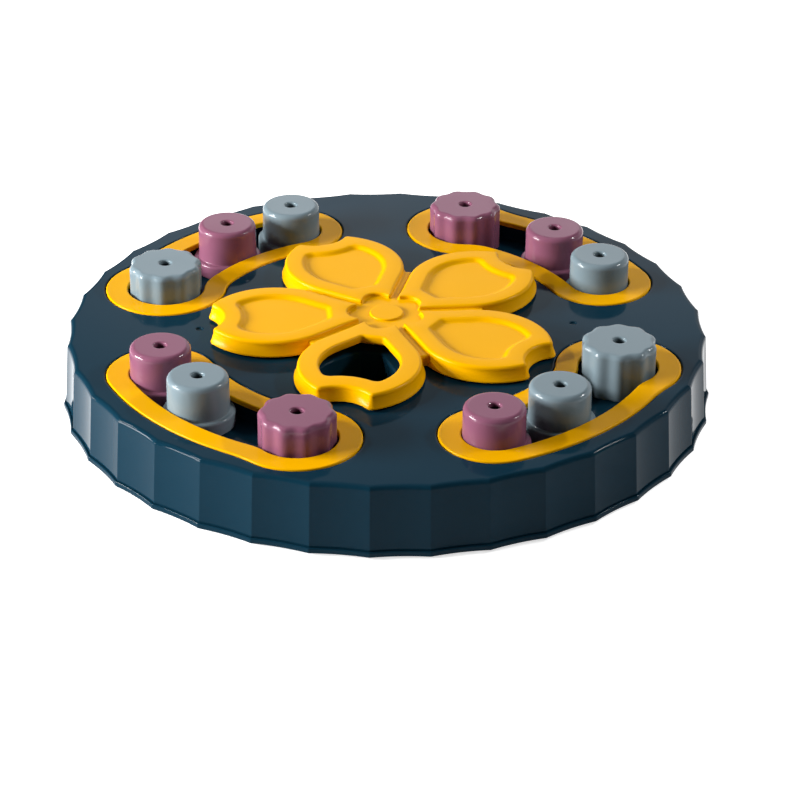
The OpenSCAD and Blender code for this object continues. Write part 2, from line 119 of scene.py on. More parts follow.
def arc(centre, radius, start, end, steps):
    """Points of an arc, without the last one, where the next arc starts."""
    return [Vector(centre) + radius * toward(start + (end - start) * i / steps) for i in range(steps)]


def circle(radius, steps=96):
    return arc((0, 0), radius, 0, 360, steps)


def meet(c0, r0, c1, r1):
    """Where two circles meet, on the side with the greater y."""
    c0, c1 = Vector(c0), Vector(c1)
    gap = (c1 - c0).length
    along = (gap * gap + r0 * r0 - r1 * r1) / (2 * gap)
    across = math.sqrt(r0 * r0 - along * along)
    unit = (c1 - c0) / gap
    side = Vector((-unit.y, unit.x))
    spots = [c0 + along * unit + across * side, c0 + along * unit - across * side]
    return max(spots, key=lambda p: p.y)


def track_loop(line, grow):
    """Outline of a line round a trough about its own middle on +X, grown outwards."""
    base, rim_blend, hub_blend = line
    out = base + grow
    centre = Vector((0, 0))
    narrow, wide = TRACK_R * toward(-HALF_SWEEP), TRACK_R * toward(HALF_SWEEP)
    blends = []
    for side, blend in ((1, rim_blend), (-1, hub_blend)):
        reach = TRACK_R + side * (SLOT_R + base + blend)
        cos_turn = (TRACK_R ** 2 + reach ** 2 - (WIDE_R + base + blend) ** 2) / (2 * TRACK_R * reach)
        blends.append(reach * toward(HALF_SWEEP - math.degrees(math.acos(cos_turn))))
    outer, inner = blends
    to_outer, to_inner = heading(outer - wide), heading(inner - wide) % 360
    return (
        arc(narrow, SLOT_R + out, 180 - HALF_SWEEP, 360 - HALF_SWEEP, 36)
        + arc(centre, TRACK_R + SLOT_R + out, -HALF_SWEEP, heading(outer), 28)
        + arc(outer, rim_blend - grow, heading(outer) + 180, to_outer + 180, 10)
        + arc(wide, WIDE_R + out, to_outer, to_inner, 48)
        + arc(inner, hub_blend - grow, to_inner - 180, heading(inner), 12)
        + arc(centre, TRACK_R - SLOT_R - out, heading(inner), -HALF_SWEEP, 20)
    )


def bend(centre, radius, start, end, steps, side=1):
    """Points of an arc with the petal's outward normals, which point in where side is -1."""
    turns = [start + (end - start) * i / steps for i in range(steps)]
    return [(Vector(centre) + radius * toward(t), side * toward(t)) for t in turns]


def run(start, end, normal, steps):
    """Points of a straight side with its outward normal, without the last one."""
    return [(start.lerp(end, i / steps), normal) for i in range(steps)]


def mirrored(half):
    """A whole outline from its upper half, whose first and last points lie on the axis."""
    flip = [(Vector((p.x, -p.y)), Vector((n.x, -n.y))) for p, n in half[-2:0:-1]]
    return half + flip


def tip_bends(inset, tip_r):
    """The notch, the tip and the long side of a petal's upper half."""
    side_c, notch_c = Vector((SIDE_X, -SIDE_OFF)), Vector((NOTCH_X, 0))
    side_r, notch_r = SIDE_R - inset, NOTCH_R + inset
    tip = meet(side_c, side_r - tip_r, notch_c, notch_r + tip_r)
    end = heading(tip - side_c)
    return (
        bend(notch_c, notch_r, 180, heading(tip - notch_c), 14, -1)
        + bend(tip, tip_r, heading(notch_c - tip), end, 10)
        + bend(side_c, side_r, end, 90 + HALF_PITCH, 34)
    ), side_c + side_r * toward(90 + HALF_PITCH)


def root_y(x, inset):
    """How far from the axis a petal's straight side lies."""
    return x * math.tan(HALF_ANGLE) - (HALF_GAP + inset) / math.cos(HALF_ANGLE)


def petal_path():
    """Outline of a petal along +X, with a scoop in its inner end."""
    tip_r, inner_r, scoop_x, scoop_r = 1.8, 0.6, 9.4, 5.8
    bends, last = tip_bends(0, tip_r)
    scoop_c = Vector((scoop_x, 0))
    normal = toward(90 + HALF_PITCH)
    # The inner tip's circle touches the straight side and the scoop
    low, high = 9.0, 14.0
    for _ in range(60):
        x = (low + high) / 2
        spot = Vector((x, root_y(x, inner_r)))
        if (spot - scoop_c).length < scoop_r + inner_r:
            low = x
        else:
            high = x
    start = heading(spot - scoop_c)
    half = (
        bends
        + run(last, spot + inner_r * normal, normal, 18)
        + bend(spot, inner_r, 90 + HALF_PITCH, heading(scoop_c - spot) % 360, 8)
        + bend(scoop_c, scoop_r, start, 0, 12, -1)
        + [(scoop_c + Vector((scoop_r, 0)), Vector((-1, 0)))]
    )
    return mirrored(half)


def cell_path(root, inset, tip_r, root_r):
    """Outline of a panel, hole or pocket inside a petal, with a nearly straight inner end."""
    bends, last = tip_bends(inset, tip_r)
    corner = Vector((root + root_r, root_y(root + root_r, inset + root_r)))
    normal = toward(90 + HALF_PITCH)
    half = (
        bends
        + run(last, corner + root_r * normal, normal, 8)
        + bend(corner, root_r, 90 + HALF_PITCH, 180, 8)
        + run(Vector((root, corner.y)), Vector((root, 0)), Vector((-1, 0)), 4)
        + [(Vector((root, 0)), Vector((-1, 0)))]
    )
    return mirrored(half)


def moved(path, grow):
    """A path's points, moved outwards along their normals."""
    return [p + n * grow for p, n in path]


# Places across one flute from corner to corner, closer together beside the sharp corners
ACROSS = (-1, -0.98, -0.94, -0.86, -0.72, -0.52, -0.27, 0, 0.27, 0.52, 0.72, 0.86, 0.94, 0.98)


def fluted(radius):
    """Outline of the tray with its corners at a radius."""
    half = math.pi / FLUTES
    loop = []
    for j in range(FLUTES):
        for across in ACROSS:
            x = radius * (math.cos(half) - FLUTE_DEPTH / TRAY_R * (1 - across * across))
            spot = Vector((x, radius * math.sin(half) * across))
            spot.rotate(Matrix.Rotation(2 * half * j, 2))
            loop.append(spot)
    return loop


def corner(r, z, radius, start, end, steps=6):
    """Points of a rounded corner in a profile of (out, up), both ends included."""
    return [(p.x, p.y) for p in arc((r, z), radius, start, end, steps)] + [
        tuple(Vector((r, z)) + radius * toward(end))
    ]


# ---------------------------------------------------------------- mesh building

def inside(spot, loop):
    """Whether a point lies inside a closed loop."""
    found = False
    for p, q in zip(loop, loop[1:] + loop[:1]):
        if (p[1] > spot.y) != (q[1] > spot.y):
            if spot.x < p[0] + (spot.y - p[1]) / (q[1] - p[1]) * (q[0] - p[0]):
                found = not found
    return found


class Shape:
    """Rings of points and the faces between them. A profile runs up the outside, in over the top
    and down the inside, so that each face looks outwards."""

    def __init__(self):
        self.points, self.faces = [], []
        self.turn, self.centre = 0.0, (0.0, 0.0)

    def at(self, turn=0.0, centre=(0.0, 0.0)):
        """Where the next rings go, turned and moved."""
        self.turn, self.centre = math.radians(turn), centre

    def ring(self, loop, z):
        """Adds a loop at one height, or at a list of heights."""
        heights = z if isinstance(z, list) else [z] * len(loop)
        x, y = self.centre
        cos, sin = math.cos(self.turn), math.sin(self.turn)
        first = len(self.points)
        for p, height in zip(loop, heights):
            self.points.append((x + cos * p[0] - sin * p[1], y + sin * p[0] + cos * p[1], height))
        return list(range(first, len(self.points)))

    def band(self, a, b):
        for i in range(len(a)):
            j = (i + 1) % len(a)
            self.faces.append((a[i], a[j], b[j], b[i]))

    def loft(self, rings, closed=False):
        for a, b in zip(rings, rings[1:]):
            self.band(a, b)
        if closed:
            self.band(rings[-1], rings[0])
        return rings

    def cap(self, ring, down=False):
        self.faces.append(tuple(reversed(ring)) if down else tuple(ring))

    def fill(self, outer, holes, down=False):
        """Flat triangles between an outer loop and the loops of its holes."""
        loops = [outer, *holes]
        flat = [i for loop in loops for i in loop]
        owner = [k for k, loop in enumerate(loops) for _ in loop]
        plans = [[self.points[i] for i in loop] for loop in loops]
        edges, first = [], 0
        for loop in loops:
            edges += [(first + i, first + (i + 1) % len(loop)) for i in range(len(loop))]
            first += len(loop)
        spots = [Vector(self.points[i][:2]) for i in flat]
        _, _, triangles, origins, _, _ = delaunay_2d_cdt(spots, edges, [], 1, 1e-5)
        for triangle in triangles:
            a, b, c = (origins[k][0] for k in triangle)
            if owner[a] == owner[b] == owner[c]:
                middle = (spots[a] + spots[b] + spots[c]) / 3
                if inside(middle, plans[owner[a]]) == (owner[a] > 0):
                    continue
            up = (spots[b] - spots[a]).cross(spots[c] - spots[a])
            if (up > 0) == down:
                b, c = c, b
            self.faces.append((flat[a], flat[b], flat[c]))

    def box(self, low, high):
        x0, y0, z0 = low
        x1, y1, z1 = high
        plan = [(x0, y0), (x1, y0), (x1, y1), (x0, y1)]
        lower, upper = self.ring(plan, z0), self.ring(plan, z1)
        self.cap(lower, down=True)
        self.band(lower, upper)
        self.cap(upper)

    def piece(self, name, body, slot, material, *nodes, sharp=40):
        mesh = bpy.data.meshes.new(name)
        mesh.from_pydata([[c * MM for c in p] for p in self.points], [], self.faces)
        mesh.materials.append(material)
        mesh.shade_smooth()
        mesh.set_sharp_from_angle(angle=math.radians(sharp))
        obj = bpy.data.objects.new(name, mesh)
        bpy.context.scene.collection.objects.link(obj)
        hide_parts(*nodes)
        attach(obj, body)
        return obj


def lathe(shape, profile, steps=96, closed=True):
    """A profile of (radius, height) turned round the shape's own place."""
    return shape.loft([shape.ring(circle(r, steps), z) for r, z in profile], closed)


def loft_track(shape, line, profile):
    """A profile of (out, height) led round a trough's line."""
    return shape.loft([shape.ring(track_loop(line, g), z) for g, z in profile])


def loft_path(shape, path, profile):
    """A profile of (out, height) led round a path with normals."""
    return shape.loft([shape.ring(moved(path, g), z) for g, z in profile])


# ---------------------------------------------------------------- materials

def linear(red, green, blue):
    """Linear colour from 0 to 255 screen values."""
    out = []
    for value in (red, green, blue):
        c = value / 255
        out.append(c / 12.92 if c <= 0.04045 else ((c + 0.055) / 1.055) ** 2.4)
    return (*out, 1.0)


def plastic(name, colour, rough, rough_spread, grain=0.0, wave=0.0, sheen=0.2, shift=0.05, ior=1.45):
    """Moulded plastic: a faint cloud of colour, uneven gloss, fine grain and a slow waviness, whose
    heights grain and wave are in metres."""
    material = bpy.data.materials.new(name)
    material.use_nodes = True
    nodes, links = material.node_tree.nodes, material.node_tree.links
    shader = nodes["Principled BSDF"]
    shader.inputs["IOR"].default_value = ior
    shader.inputs["Specular IOR Level"].default_value = sheen
    place = nodes.new("ShaderNodeTexCoord").outputs["Object"]

    def noise(scale, detail):
        node = nodes.new("ShaderNodeTexNoise")
        node.inputs["Scale"].default_value = scale
        node.inputs["Detail"].default_value = detail
        links.new(place, node.inputs["Vector"])
        return node.outputs["Fac"]

    tint = nodes.new("ShaderNodeMix")
    tint.data_type = "RGBA"
    low, high = tint.inputs[6], tint.inputs[7]
    low.default_value = (*(c * (1 - shift) for c in colour[:3]), 1)
    high.default_value = (*(min(c * (1 + shift), 1) for c in colour[:3]), 1)
    links.new(noise(45, 3), tint.inputs[0])
    links.new(tint.outputs[2], shader.inputs["Base Color"])

    gloss = nodes.new("ShaderNodeMapRange")
    gloss.inputs["From Min"].default_value, gloss.inputs["From Max"].default_value = 0.3, 0.7
    gloss.inputs["To Min"].default_value = rough - rough_spread
    gloss.inputs["To Max"].default_value = rough + rough_spread
    links.new(noise(60, 1), gloss.inputs["Value"])
    links.new(gloss.outputs["Result"], shader.inputs["Roughness"])

    normal = shader.inputs["Normal"]
    for distance, scale, detail in ((grain, 1500, 2), (wave, 30, 1)):
        if distance:
            bump = nodes.new("ShaderNodeBump")
            bump.inputs["Strength"].default_value = 0.6
            bump.inputs["Distance"].default_value = distance
            links.new(noise(scale, detail), bump.inputs["Height"])
            links.new(bump.outputs["Normal"], normal)
            normal = bump.inputs["Normal"]
    return material


def metal(name, colour, rough):
    material = plastic(name, colour, rough, 0.06, grain=0.00002)
    material.node_tree.nodes["Principled BSDF"].inputs["Metallic"].default_value = 1
    return material


TRAY = plastic("tray_plastic", linear(11, 40, 54), 0.07, 0.02, wave=0.00001, sheen=0.06)
YELLOW = plastic("yellow_plastic", linear(215, 155, 0), 0.22, 0.03, sheen=0.15, shift=0.02, ior=1.25)
PLUM = plastic("plum_plastic", linear(117, 72, 92), 0.14, 0.03, sheen=0.25, shift=0.02)
GREY = plastic("grey_plastic", linear(106, 121, 128), 0.14, 0.03, sheen=0.25, shift=0.02)
RUBBER = plastic("foot_rubber", linear(34, 38, 40), 0.75, 0.08, grain=0.00006)
STEEL = metal("pivot_steel", linear(190, 194, 198), 0.3)
KNOB_LOOKS = {
    "plum": ("plum_plastic", PLUM),
    "grey": ("grey_plastic", GREY),
}


# ---------------------------------------------------------------- tray

# The groove above the lip: out from the side's foot and up from the lip's top
LIP_GROOVE = ((0.1, 0.05), (-0.12, -0.1), (-0.12, 0.25), (-0.02, 0.4), (-0.06, 0.9))
# A gate mark's radii and depths, and how far from the centre the two marks lie
GATE_MARK = ((1.8, 0), (1.4, 0), (1.2, 0.15), (1.1, 0.5))
GATE_X = 72


def peg_spots(turn):
    """Centres of the four pegs of the ring at a turn."""
    out = (UNDERCUT + BAND_W) / 2
    ends = [
        TRACK_R * toward(side * HALF_SWEEP) + (r + out) * toward(side * (HALF_SWEEP + 90))
        for side, r in ((-1, SLOT_R), (1, WIDE_R))
    ]
    middles = [Vector((TRACK_R + SLOT_R + out, 0)), Vector((TRACK_R - SLOT_R - out, 0))]
    spin = Matrix.Rotation(math.radians(turn), 2)
    return [spin @ spot for spot in ends + middles]


def tray_side(tray):
    """The fluted side, from the lip's bottom edge up to the flat of the deck."""
    lip_top, lip_edge, lip_r = LIP_Z + LIP_H, 0.3, 0.5
    profile = [(TRAY_R - lip_edge, LIP_Z), (TRAY_R, LIP_Z + lip_edge)]
    profile += corner(TRAY_R - lip_r, lip_top - 0.4, lip_r, 0, 75, 4)
    profile += [(LOW_R + out, lip_top + up) for out, up in LIP_GROOVE]
    profile += [(HIGH_R + 0.03, DECK_Z - RIM_R - 0.5)]
    profile += corner(HIGH_R - RIM_R, DECK_Z - RIM_R, RIM_R, 0, 90, 8)
    profile += [(HIGH_R - RIM_R - 0.4, DECK_Z)]
    return tray.loft([tray.ring(fluted(r), z) for r, z in profile])


def tray_trough(tray, turn):
    """One trough with its ring's recess. Returns its outlines in the deck and in the roof below."""
    tray.at(turn)
    gap, soft, seat_r, floor_r = RECESS_W - BAND_W, 0.5, 0.3, 1
    profile = [(gap + soft + 0.4, DECK_Z)] + corner(gap + soft, DECK_Z - soft, soft, 90, 180, 4)
    recess = loft_track(tray, RING_LINE, profile + [(gap, SEAT_Z)])
    profile = corner(UNDERCUT + seat_r, SEAT_Z - seat_r, seat_r, 90, 180, 3)
    profile += corner(UNDERCUT - floor_r, TROUGH_Z + floor_r, floor_r, 0, -90, 5)
    profile += [(UNDERCUT - floor_r - 0.5, TROUGH_Z)]
    trough = loft_track(tray, SLOT_LINE, profile)
    tray.cap(trough[-1])

    # The same seen from below, with the seat kept inside the shell
    out, belly_r = UNDERCUT + 1.6, 0.6
    belly_z, under_seat = TROUGH_Z - WALL, SEAT_Z - WALL
    profile = [(out - 1, belly_z)] + corner(out - belly_r, belly_z + belly_r, belly_r, -90, 0, 4)
    belly = loft_track(tray, SLOT_LINE, profile + [(out, under_seat)])
    tray.cap(belly[0], down=True)
    limit = INNER_R - LEAN - 0.3
    girth = [p * min(1, limit / p.length) for p in track_loop(RING_LINE, gap + WALL)]
    brim, hang = tray.ring(girth, under_seat), tray.ring(girth, UNDER_Z)
    tray.band(brim, hang)

    # Holes that the ring's pegs plug into
    uppers, lowers = [], []
    for spot in peg_spots(turn):
        tray.at(0, spot)
        uppers.append(tray.ring(circle(PEG_HOLE_R, 24), SEAT_Z))
        lowers.append(tray.ring(circle(PEG_HOLE_R, 24), under_seat))
        tray.band(uppers[-1], lowers[-1])
    tray.fill(recess[-1], [trough[0], *uppers])
    tray.fill(brim, [belly[-1], *lowers], down=True)
    return recess[0], hang


def tray_pocket(tray, turn):
    """One treat pocket. Returns its outlines in the deck and in the roof below."""
    tray.at(turn)
    mouth_r, floor_r, under_r = 1, 1.2, 0.6
    profile = [(mouth_r + 0.4, DECK_Z)] + corner(mouth_r, DECK_Z - mouth_r, mouth_r, 90, 180, 6)
    profile += corner(-floor_r, POCKET_Z + floor_r, floor_r, 0, -90, 5)
    profile += [(-floor_r - 0.4, POCKET_Z)]
    upper = loft_path(tray, cell_path(PANEL_ROOT, PANEL_IN, 3, 2), profile)
    tray.cap(upper[-1])
    under_z = POCKET_Z - WALL
    profile = [(-1, under_z)] + corner(-under_r, under_z + under_r, under_r, -90, 0, 4)
    profile += [(0, UNDER_Z)]
    lower = loft_path(tray, cell_path(PANEL_ROOT - WALL, PANEL_IN - WALL, 4, 2), profile)
    tray.cap(lower[0], down=True)
    return upper[0], lower[-1]


def tray_bearing(tray):
    """The bearing for the flower's post."""
    tray.at()
    bore, boss, edge = 5.05, 7.45, 0.3
    profile = [(bore + 0.5, DECK_Z), (bore + edge, DECK_Z), (bore, DECK_Z - edge)]
    profile += [(bore, BEARING_Z), (boss, BEARING_Z), (boss, UNDER_Z)]
    rings = lathe(tray, profile, 64, closed=False)
    return rings[0], rings[-1]


def tray_tube(tray, turn):
    """The tube that a foot plugs into."""
    tray.at(0, FOOT_AT * toward(turn))
    bore, outside = 7.55, 9.9
    profile = [(bore, UNDER_Z), (bore, LIP_Z), (outside, LIP_Z), (outside, UNDER_Z)]
    rings = lathe(tray, profile, 64, closed=False)
    tray.cap(rings[0], down=True)
    return rings[-1]


def tray_gate_mark(tray, x):
    """A shallow round dimple beside the flower."""
    tray.at(0, (x, 0))
    rings = lathe(tray, [(r, DECK_Z - depth) for r, depth in GATE_MARK], 32, closed=False)
    tray.cap(rings[-1])
    return rings[0]


def tray_ribs(tray):
    """Stiffening ribs under the deck, inside and outside each foot's tube."""
    half, reach, top = 0.9, 8.5, DECK_Z - WALL / 2
    for turn in FEET.values():
        tray.at(turn)
        for start, end in ((63.6, FOOT_AT - reach), (FOOT_AT + reach, INNER_R - 0.5)):
            tray.box((start, -half, top - 9), (end, half, top))


def make_tray():
    tray = Shape()
    side = tray_side(tray)

    # Inside of the shell, down to its foot
    roof, foot = (tray.ring(circle(r, 180), z) for r, z in ((INNER_R - LEAN, UNDER_Z), (INNER_R, LIP_Z)))
    tray.band(roof, foot)
    tray.fill(side[0], [foot], down=True)

    holes = [tray_trough(tray, turn) for turn in SIDES.values()]
    holes += [tray_pocket(tray, turn) for turn in POCKETS.values()]
    holes += [tray_bearing(tray)]
    top_holes, under_holes = (list(loops) for loops in zip(*holes))
    under_holes += [tray_tube(tray, turn) for turn in FEET.values()]
    top_holes += [tray_gate_mark(tray, x) for x in (-GATE_X, GATE_X)]
    tray.at()
    tray.fill(side[-1], top_holes)
    tray.fill(roof, under_holes, down=True)
    tray_ribs(tray)

    pans = [f"trough_pan_{side}" for side in SIDES]
    pans += [f"pocket_pan_{side}" for side in POCKETS]
    return tray.piece("tray_shell", "tray", "tray_plastic", TRAY, "base_tray", *pans)


def make_ring(side, turn):
    shape = Shape()
    shape.at(turn)
    soft = 0.6
    outer = [(-0.2, SEAT_Z), (0, SEAT_Z + 0.2)] + corner(-soft, RING_Z - soft, soft, 0, 90, 5)
    outer += [(-soft - 0.3, RING_Z)]
    inner = [(soft + 0.3, RING_Z)] + corner(soft, RING_Z - soft, soft, 90, 180, 5)
    inner += [(0, SEAT_Z + 0.2), (0.2, SEAT_Z)]
    rings = [shape.ring(track_loop(RING_LINE, g), z) for g, z in outer]
    rings += [shape.ring(track_loop(SLOT_LINE, g), z) for g, z in inner]
    shape.loft(rings, closed=True)
    edge, low = 0.3, SEAT_Z - WALL + 0.3
    profile = [(PEG_R - edge, low), (PEG_R, low + edge), (PEG_R, SEAT_Z + 0.5)]
    for spot in peg_spots(turn):
        shape.at(0, spot)
        rings = lathe(shape, profile, 24, closed=False)
        shape.cap(rings[0], down=True)
        shape.cap(rings[-1])
    name = f"track_ring_{side}"
    return shape.piece(f"ring_band_{side}", "tray", "yellow_plastic", YELLOW, name)


# ---------------------------------------------------------------- knobs and plugs

def centre_of(node):
    """The middle of a CAD node, seen from above."""
    low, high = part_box(node)
    return ((low.x + high.x) / 2 / MM, (low.y + high.y) / 2 / MM)


SCENT_R, SCENT_RIM, KNOB_EDGE, KNOB_WALL = 2.25, 0.7, 2.0, 1.8
FLANGE_R, KNOB_FOOT_R, CAP_R = 13.6, 11.6, 11.5
PLUG_R, LOBES, LOBE_DEPTH, PLUG_STEPS = 14.3, 10, 0.9, 160


def scent_hole(top):
    """Profile of the hole in the top of a knob or plug, from the flat round it down to its foot."""
    profile = [(SCENT_R + SCENT_RIM + 0.2, top)]
    profile += corner(SCENT_R + SCENT_RIM, top - SCENT_RIM, SCENT_RIM, 90, 180, 5)
    return profile + [(SCENT_R, top - KNOB_WALL)]


def make_slider(kind, side, tint):
    node = f"{kind}_slider_{side}"
    shape = Shape()
    shape.at(0, centre_of(node))
    flange_z, edge, foot_edge, neck = SEAT_Z - 0.3, 1.0, 0.5, CAP_R - KNOB_EDGE
    profile = [(FLANGE_R - KNOB_WALL, KNOB_Z), (FLANGE_R - 0.2, KNOB_Z), (FLANGE_R, KNOB_Z + 0.2)]
    profile += corner(FLANGE_R - edge, flange_z - edge, edge, 0, 90, 5)
    profile += corner(KNOB_FOOT_R + foot_edge, flange_z + foot_edge, foot_edge, 270, 180, 4)
    profile += [(CAP_R + 0.01, SLIDER_Z - KNOB_EDGE - 0.4)]
    profile += corner(neck, SLIDER_Z - KNOB_EDGE, KNOB_EDGE, 0, 90, 9)
    profile += [(neck - 0.3, SLIDER_Z)] + scent_hole(SLIDER_Z)
    profile += [
        (CAP_R - KNOB_WALL, SLIDER_Z - KNOB_WALL),
        (KNOB_FOOT_R - KNOB_WALL, flange_z - KNOB_WALL),
        (FLANGE_R - KNOB_WALL, flange_z - KNOB_WALL),
    ]
    lathe(shape, profile)
    slot, material = KNOB_LOOKS[tint]
    return shape.piece(f"{kind}_knob_{side}", f"{kind}_{side}", slot, material, node)


def lobed(inset):
    """Outline of a plug, moved in."""
    loop = []
    for i in range(PLUG_STEPS):
        turn = 360 * i / PLUG_STEPS
        wave = (1 - math.cos(math.radians(turn * LOBES))) / 2
        loop.append((PLUG_R - inset - LOBE_DEPTH * wave) * toward(turn))
    return loop


def make_plug(side, turn, tint):
    node = f"lift_plug_{side}"
    shape = Shape()
    shape.at(turn + HALF_SWEEP, centre_of(node))
    hollow_r = PLUG_R - LOBE_DEPTH - KNOB_WALL
    rings = [shape.ring(circle(hollow_r, PLUG_STEPS), KNOB_Z)]
    edge = [(0.3, KNOB_Z), (0.1, KNOB_Z + 0.1), (0, KNOB_Z + 0.4), (0, PLUG_Z - KNOB_EDGE - 0.4)]
    edge += [(KNOB_EDGE - r, z) for r, z in corner(0, PLUG_Z - KNOB_EDGE, KNOB_EDGE, 0, 90, 9)]
    edge += [(KNOB_EDGE + 0.3, PLUG_Z)]
    rings += [shape.ring(lobed(inset), z) for inset, z in edge]
    hole = scent_hole(PLUG_Z) + [(hollow_r, PLUG_Z - KNOB_WALL)]
    rings += [shape.ring(circle(r, PLUG_STEPS), z) for r, z in hole]
    shape.loft(rings, closed=True)
    slot, material = KNOB_LOOKS[tint]
    return shape.piece(f"plug_{side}", f"plug_{side}", slot, material, node)


# ---------------------------------------------------------------- flower

# The wall's bead: out from the leaning wall's foot and up from its bottom
PETAL_BEAD = ((-0.15, 0), (0, 0.15), (0, 0.6), (-0.1, 0.8), (-0.3, 0.95))
# The soft corner where a petal meets the web: out from the petal and up from the web
WEB_CORNER = ((0.6, -0.02), (0.32, 0.1), (0.12, 0.3))
# The soft slope from the face down to the panel: out from the panel's edge and down from the face
PANEL_SLOPE = (
    (2.0, 0), (1.6, 0.02), (1.2, 0.11), (0.8, 0.28), (0.4, 0.54),
    (0.1, 0.82), (-0.2, 1.05), (-0.6, 1.17), (-1.0, 1.2), (-1.4, 1.2),
)


def tip_room(p):
    """How much of the face's rounding a point takes: less at the sharp inner tips."""
    near = min(max((p.length - 12) / 9, 0), 1)
    return 0.4 + 0.6 * near * near * (3 - 2 * near)


def web_share(p):
    """How much of the web's soft corner a point takes: none outside the web."""
    return min(max((WEB_R - 0.7 - p.length) / 1.5, 0), 1)


def make_petal(flower, outline, panel, cavity, opened):
    """One petal, with a sunk panel or a hole, and the hollow under it."""
    rings = [flower.ring(moved(outline, PETAL_LEAN + g), FLOWER_Z + z) for g, z in PETAL_BEAD]
    rings.append(flower.ring(moved(outline, 0.1), WEB_Z - 0.6))
    for grow, up in WEB_CORNER:
        rings.append(flower.ring([p + n * grow * web_share(p) for p, n in outline], WEB_Z + up))
    soft, lip = 1.2, 0.9
    rings.append(flower.ring(moved(outline, 0), FACE_Z - soft - 0.05))
    # Where there is less room the edge is rounded less, and starts higher
    shares = [tip_room(p) for p, _ in outline]
    for out, z in corner(0, FACE_Z - soft, soft, 0, 90, 8)[1:]:
        loop = [p + n * (out - soft) * share for (p, n), share in zip(outline, shares)]
        rings.append(flower.ring(loop, [FACE_Z - (FACE_Z - z) * share for share in shares]))
    flower.loft(rings)
    if opened:
        profile = [(lip + 0.3, FACE_Z)] + corner(lip, FACE_Z - lip, lip, 90, 180, 6)
        profile += [(0, PLATE_Z + 0.3), (0.15, PLATE_Z + 0.1), (0.3, PLATE_Z)]
    else:
        profile = [(grow, FACE_Z - drop) for grow, drop in PANEL_SLOPE]
    hole = loft_path(flower, panel, profile)
    flower.fill(rings[-1], [hole[0]])
    brim, roof = (flower.ring(moved(cavity, 0), z) for z in (FLOWER_Z, PLATE_Z))
    flower.band(roof, brim)
    flower.fill(rings[0], [brim], down=True)
    if opened:
        flower.fill(roof, [hole[-1]], down=True)
    else:
        flower.cap(hole[-1])
        flower.cap(roof, down=True)


def web_loop(cells, radius):
    """The web's outline, which leaves out the hollow of each petal."""
    loop = []
    for k in range(PETALS):
        turn = OPEN_TURN + PITCH * k
        for p in cells:
            spot = p.copy()
            spot.rotate(Matrix.Rotation(math.radians(turn), 2))
            loop.append(spot)
        start, end = turn + heading(cells[-1]), turn + PITCH + heading(cells[0])
        loop += arc((0, 0), radius, start, end, 24) + [radius * toward(end)]
    return loop


def make_web(flower, cavity):
    """The web that joins the petals, with its button on top and its post below."""
    button_r, button_z, foot_r, edge, soft = 6.5, WEB_Z + 0.8, 0.3, 0.5, 0.7
    post_r, bore_r, bore_depth = 5.0, 1.55, 12
    cells = [p for p in reversed(moved(cavity, 1)) if p.length < WEB_R - 1.3]
    profile = [(WEB_R - 0.2, FLOWER_Z + 0.05), (WEB_R, FLOWER_Z + 0.25)]
    profile += corner(WEB_R - soft, WEB_Z - soft, soft, 0, 90, 5)
    profile += [(WEB_R - 1.1, WEB_Z)]
    web = flower.loft([flower.ring(web_loop(cells, r), z) for r, z in profile])
    profile = [(button_r + 0.6, WEB_Z)]
    profile += corner(button_r + foot_r, WEB_Z + foot_r, foot_r, 270, 180, 3)
    profile += corner(button_r - edge, button_z - edge, edge, 0, 90, 5)
    profile += [(button_r - 0.8, button_z), (0.9, button_z + 0.02)]
    button = lathe(flower, profile, 96, closed=False)
    flower.cap(button[-1])
    flower.fill(web[-1], [button[0]])
    profile = [(bore_r, POST_Z + bore_depth), (bore_r, POST_Z), (post_r - 0.4, POST_Z)]
    profile += [(post_r, POST_Z + 0.4), (post_r, FLOWER_Z + 0.05)]
    post = lathe(flower, profile, 64, closed=False)
    flower.cap(post[0], down=True)
    flower.fill(web[0], [post[-1]], down=True)


def make_flower():
    flower = Shape()
    outline = petal_path()
    panel = cell_path(PANEL_ROOT, PANEL_IN, 3, 2)
    cavity = cell_path(17.6, 2.0, 1.5, 1)
    for k in range(PETALS):
        flower.at(OPEN_TURN + PITCH * k)
        make_petal(flower, outline, panel, cavity, opened=k == 0)
    flower.at()
    make_web(flower, cavity)
    return flower.piece("petal_turntable", "turntable", "yellow_plastic", YELLOW, "flower_turntable")


def make_foot(name, turn):
    foot = Shape()
    foot.at(0, FOOT_AT * toward(turn))
    pad_r, stem_r, stem_z, edge = 9.8, 7.5, 6.0, 0.3
    # A groove in the pad's underside, then the pad's edge and the stem that plugs into the tray
    profile = [(3, 0), (6, 0), (6.2, 0.25), (6.8, 0.25), (7, 0), (pad_r - edge, 0)]
    profile += [(pad_r, edge), (pad_r, LIP_Z), (stem_r, LIP_Z)]
    profile += [(stem_r, stem_z - edge), (stem_r - edge, stem_z)]
    rings = lathe(foot, profile, 64, closed=False)
    foot.cap(rings[0], down=True)
    foot.cap(rings[-1])
    return foot.piece(f"rubber_{name}", "tray", "foot_rubber", RUBBER, name)


# Colours of each trough's middle knob, end knob and plug
TINTS = {
    "back_right": ("plum", "grey", "plum"),
    "back_left": ("plum", "grey", "grey"),
    "front_left": ("grey", "plum", "plum"),
    "front_right": ("grey", "plum", "grey"),
}

make_tray()
for side, turn in SIDES.items():
    make_ring(side, turn)
for side, turn in SIDES.items():
    middle, end, plug = TINTS[side]
    make_slider("mid", side, middle)
    make_slider("end", side, end)
    make_plug(side, turn, plug)
make_flower()
for name, turn in FEET.items():
    make_foot(name, turn)
for name in ("pivot_washer", "pivot_screw"):
    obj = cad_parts[name]
    for material_slot in obj.material_slots:
        material_slot.material = STEEL


